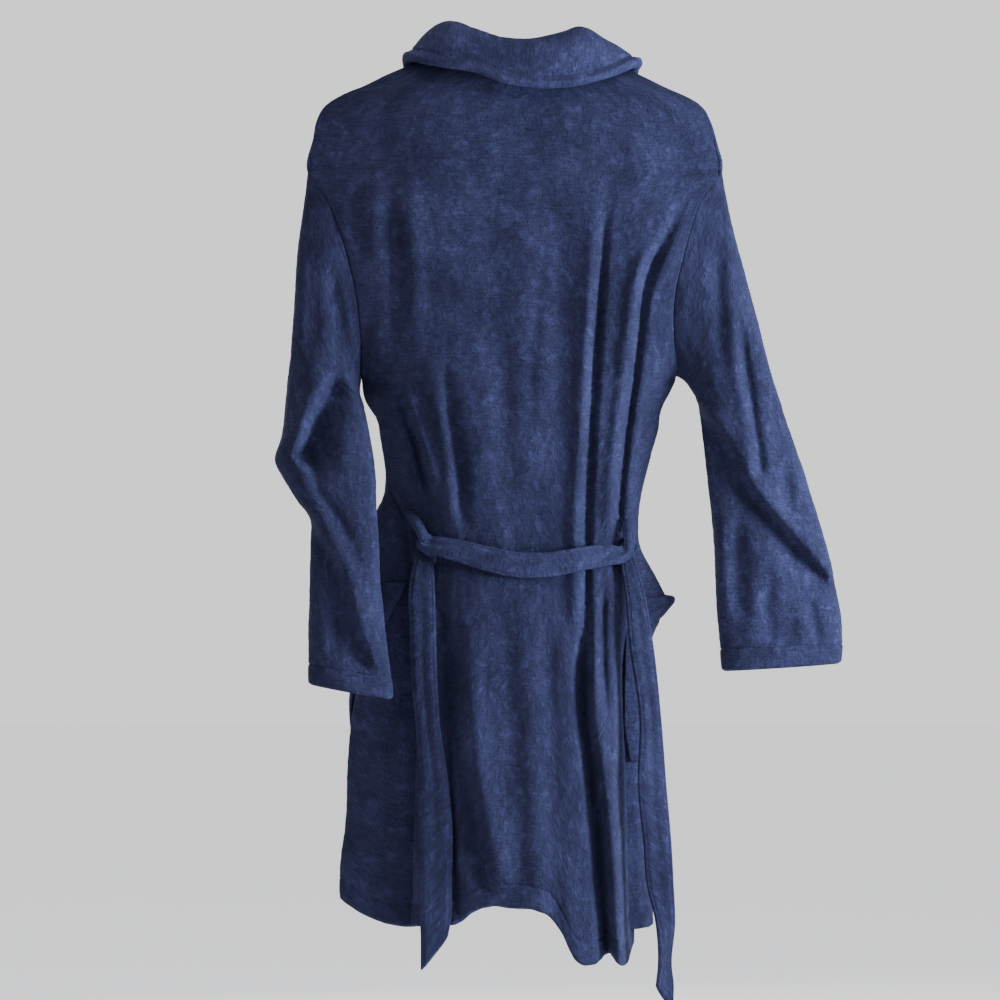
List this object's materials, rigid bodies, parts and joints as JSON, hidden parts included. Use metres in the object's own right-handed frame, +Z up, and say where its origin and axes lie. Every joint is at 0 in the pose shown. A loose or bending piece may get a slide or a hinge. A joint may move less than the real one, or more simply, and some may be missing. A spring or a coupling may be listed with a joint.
{
  "type": "bathrobe",
  "caption": "Knee-length plush bathrobe hanging open at the front, with a shawl collar, long sleeves, two patch pockets and a belt held by loops across the back waist.",
  "frame": {"origin": "the point inside the back neck from which the robe hangs, level with a hanger's hook line", "axes": "+Z up; +Y towards the wearer's back; +X towards the wearer's left"},
  "size_m": [0.664, 0.194, 1.1578],
  "materials": {
    "plush": "deep-pile navy plush with a patchy nap",
    "collar": "the same plush, padded and topstitched",
    "hem": "the same plush, turned and stitched",
    "pocket": "the same plush",
    "belt": "the same plush, doubled",
    "tape": "flat woven navy tape",
    "label": "blank woven satin label"
  },
  "bodies": {
    "torso": {"back_panel": "plush", "back_hem": "hem", "back_collar": "collar", "neck_label": "label", "left_belt_loop": "belt", "right_belt_loop": "belt", "belt_back_span": "belt", "left_front_upper": "plush", "right_front_upper": "plush", "left_lapel": "collar", "right_lapel": "collar"},
    "left_sleeve": {"left_sleeve": "plush", "left_cuff_hem": "hem"},
    "right_sleeve": {"right_sleeve": "plush", "right_cuff_hem": "hem"},
    "left_front": {"left_front_skirt": "plush", "left_front_hem": "hem", "left_front_band": "hem", "left_pocket": "pocket"},
    "right_front": {"right_front_skirt": "plush", "right_front_hem": "hem", "right_front_band": "hem", "right_pocket": "pocket"},
    "left_tail": {"left_belt_tail": "belt"},
    "right_tail": {"right_belt_tail": "belt"},
    "hang_loop": {"hang_loop": "tape"}
  },
  "joints": [
    {"name": "left_sleeve_raise", "type": "hinge", "parent": "torso", "child": "left_sleeve", "pos_m": [0.244, 0, -0.146], "axis": [0, -1, 0], "range_deg": [0, 35], "stiffness_Nm_per_rad": 0.12, "springref_deg": -34.38},
    {"name": "right_sleeve_raise", "type": "hinge", "parent": "torso", "child": "right_sleeve", "pos_m": [-0.244, 0, -0.146], "axis": [0, 1, 0], "range_deg": [0, 35]},
    {"name": "left_front_open", "type": "hinge", "parent": "torso", "child": "left_front", "pos_m": [0.122, 0.0125, -0.6], "axis": [0, 0, 1], "range_deg": [0, 50], "stiffness_Nm_per_rad": 0.06},
    {"name": "right_front_open", "type": "hinge", "parent": "torso", "child": "right_front", "pos_m": [-0.14, 0.0125, -0.6], "axis": [0, 0, -1], "range_deg": [0, 70], "stiffness_Nm_per_rad": 0.06},
    {"name": "left_tail_swing", "type": "hinge", "parent": "torso", "child": "left_tail", "pos_m": [0.107, 0.0515, -0.6125], "axis": [1, 0, 0], "range_deg": [0, 70]},
    {"name": "right_tail_swing", "type": "hinge", "parent": "torso", "child": "right_tail", "pos_m": [-0.13, 0.0415, -0.6225], "axis": [1, 0, 0], "range_deg": [0, 70]},
    {"name": "hang_loop_lift", "type": "hinge", "parent": "torso", "child": "hang_loop", "pos_m": [0, 0.018, -0.016], "axis": [-1, 0, 0], "range_deg": [0, 90]}
  ]
}
